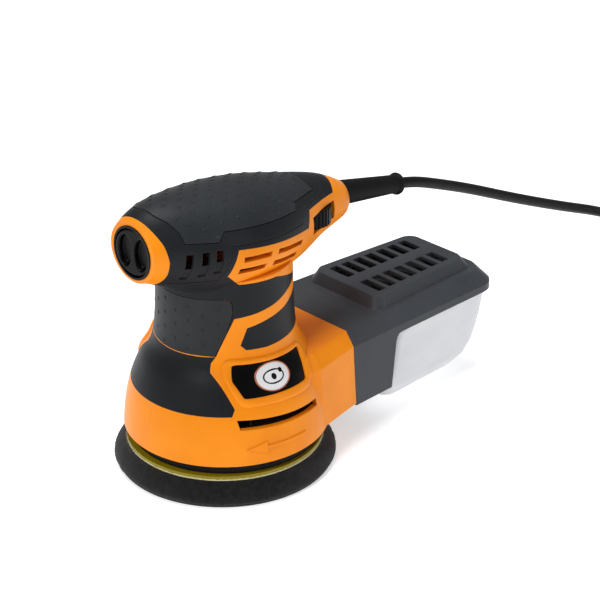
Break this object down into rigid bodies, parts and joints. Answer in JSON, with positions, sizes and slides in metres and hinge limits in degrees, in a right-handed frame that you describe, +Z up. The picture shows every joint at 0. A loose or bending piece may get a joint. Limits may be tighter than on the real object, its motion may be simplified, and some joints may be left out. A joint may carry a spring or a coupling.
{
  "type": "orbital sander",
  "caption": "Palm-grip random orbital sander with round hook-faced pad, speed wheel, rocker switch, mains cord and slide-off vented dust box.",
  "frame": {"origin": "on the motor axis at the pad's sanding face", "axes": "+Z up along the motor axis, -X front with the switch, +X rear with the dust box and cord, +Y the tool's right side"},
  "size_m": [0.58, 0.1565, 0.1653],
  "materials": {
    "orange_shell": "satin moulded plastic",
    "dark_overmould": "soft satin overmould",
    "soft_grip": "soft grip",
    "black_plastic": "semi gloss",
    "box_lid": "fine texture",
    "bin_plastic": "translucent frosted",
    "pad_foam": "cellular foam",
    "pad_hook": "hook facing",
    "pad_resin": "glass epoxy",
    "rubber_black": "matte",
    "steel": "machined",
    "zinc": "die cast",
    "copper": "enamelled wire",
    "core_steel": "laminated",
    "carbon": "pressed carbon",
    "fan_plastic": "glass filled",
    "board_green": "solder mask",
    "capacitor_yellow": "film capacitor",
    "filter_paper": "pleated",
    "cord_black": "flexible cord",
    "plug_brass": "nickel plated"
  },
  "bodies": {
    "housing": {"left_housing": "orange_shell", "right_housing": "orange_shell", "top_cover": "dark_overmould", "top_grip": "soft_grip", "neck_sleeve": "dark_overmould", "front_grip": "soft_grip", "front_shield": "dark_overmould", "left_inlay": "dark_overmould", "right_inlay": "dark_overmould", "left_badge_plate": "black_plastic", "right_badge_plate": "black_plastic", "brake_ring": "rubber_black", "fan_shroud": "fan_plastic", "bearing_bracket": "zinc", "stator_core": "core_steel", "field_coils": "copper", "brush_holders": "plug_brass", "carbon_brushes": "carbon", "brush_springs": "steel", "upper_bearing_outer": "steel", "lower_bearing_outer": "steel", "control_board": "board_green", "dial_shaft": "black_plastic", "capacitor": "capacitor_yellow", "switch_body": "black_plastic", "switch_bezel": "black_plastic", "cord_clamp": "black_plastic", "clamp_screws": "steel", "strain_relief": "rubber_black", "housing_screws": "steel", "cord_run": "cord_black", "cord_coil": "cord_black", "plug_body": "cord_black", "plug_pins": "plug_brass"},
    "rotor": {"rotor_shaft": "steel", "armature_core": "core_steel", "armature_windings": "copper", "commutator": "copper", "fan": "fan_plastic", "counterweight": "zinc", "upper_bearing_inner": "steel", "lower_bearing_inner": "steel", "pad_bearing_inner": "steel"},
    "pad": {"pad_plate": "pad_resin", "pad_foam": "pad_foam", "hook_facing": "pad_hook", "pad_hub": "zinc", "pad_bearing_outer": "steel", "pad_screws": "steel"},
    "switch": {"switch_rocker": "black_plastic"},
    "dial": {"speed_dial": "black_plastic"},
    "dust_box": {"dust_lid": "box_lid", "filter_frame": "box_lid", "dust_filter": "filter_paper", "port_seal": "rubber_black"},
    "bin": {"dust_bin": "bin_plastic"}
  },
  "joints": [
    {"name": "rotor_spin", "type": "hinge", "parent": "housing", "child": "rotor", "pos_m": [0, 0, 0.08], "axis": [0, 0, 1], "continuous": true},
    {"name": "pad_spin", "type": "hinge", "parent": "rotor", "child": "pad", "pos_m": [-0.00125, 0, 0.02], "axis": [0, 0, 1], "continuous": true},
    {"name": "switch_rock", "type": "hinge", "parent": "housing", "child": "switch", "pos_m": [-0.058, 0, 0.142], "axis": [0, 0, 1], "range_deg": [-10, 0]},
    {"name": "speed_turn", "type": "hinge", "parent": "housing", "child": "dial", "pos_m": [0.054, -0.0095, 0.1325], "axis": [0, 0, 1], "range_deg": [0, 270]},
    {"name": "dust_box_slide", "type": "slide", "parent": "housing", "child": "dust_box", "axis": [1, 0, 0], "range_m": [0, 0.06]},
    {"name": "bin_drop", "type": "slide", "parent": "dust_box", "child": "bin", "axis": [0, 0, -1], "range_m": [0, 0.008]}
  ]
}
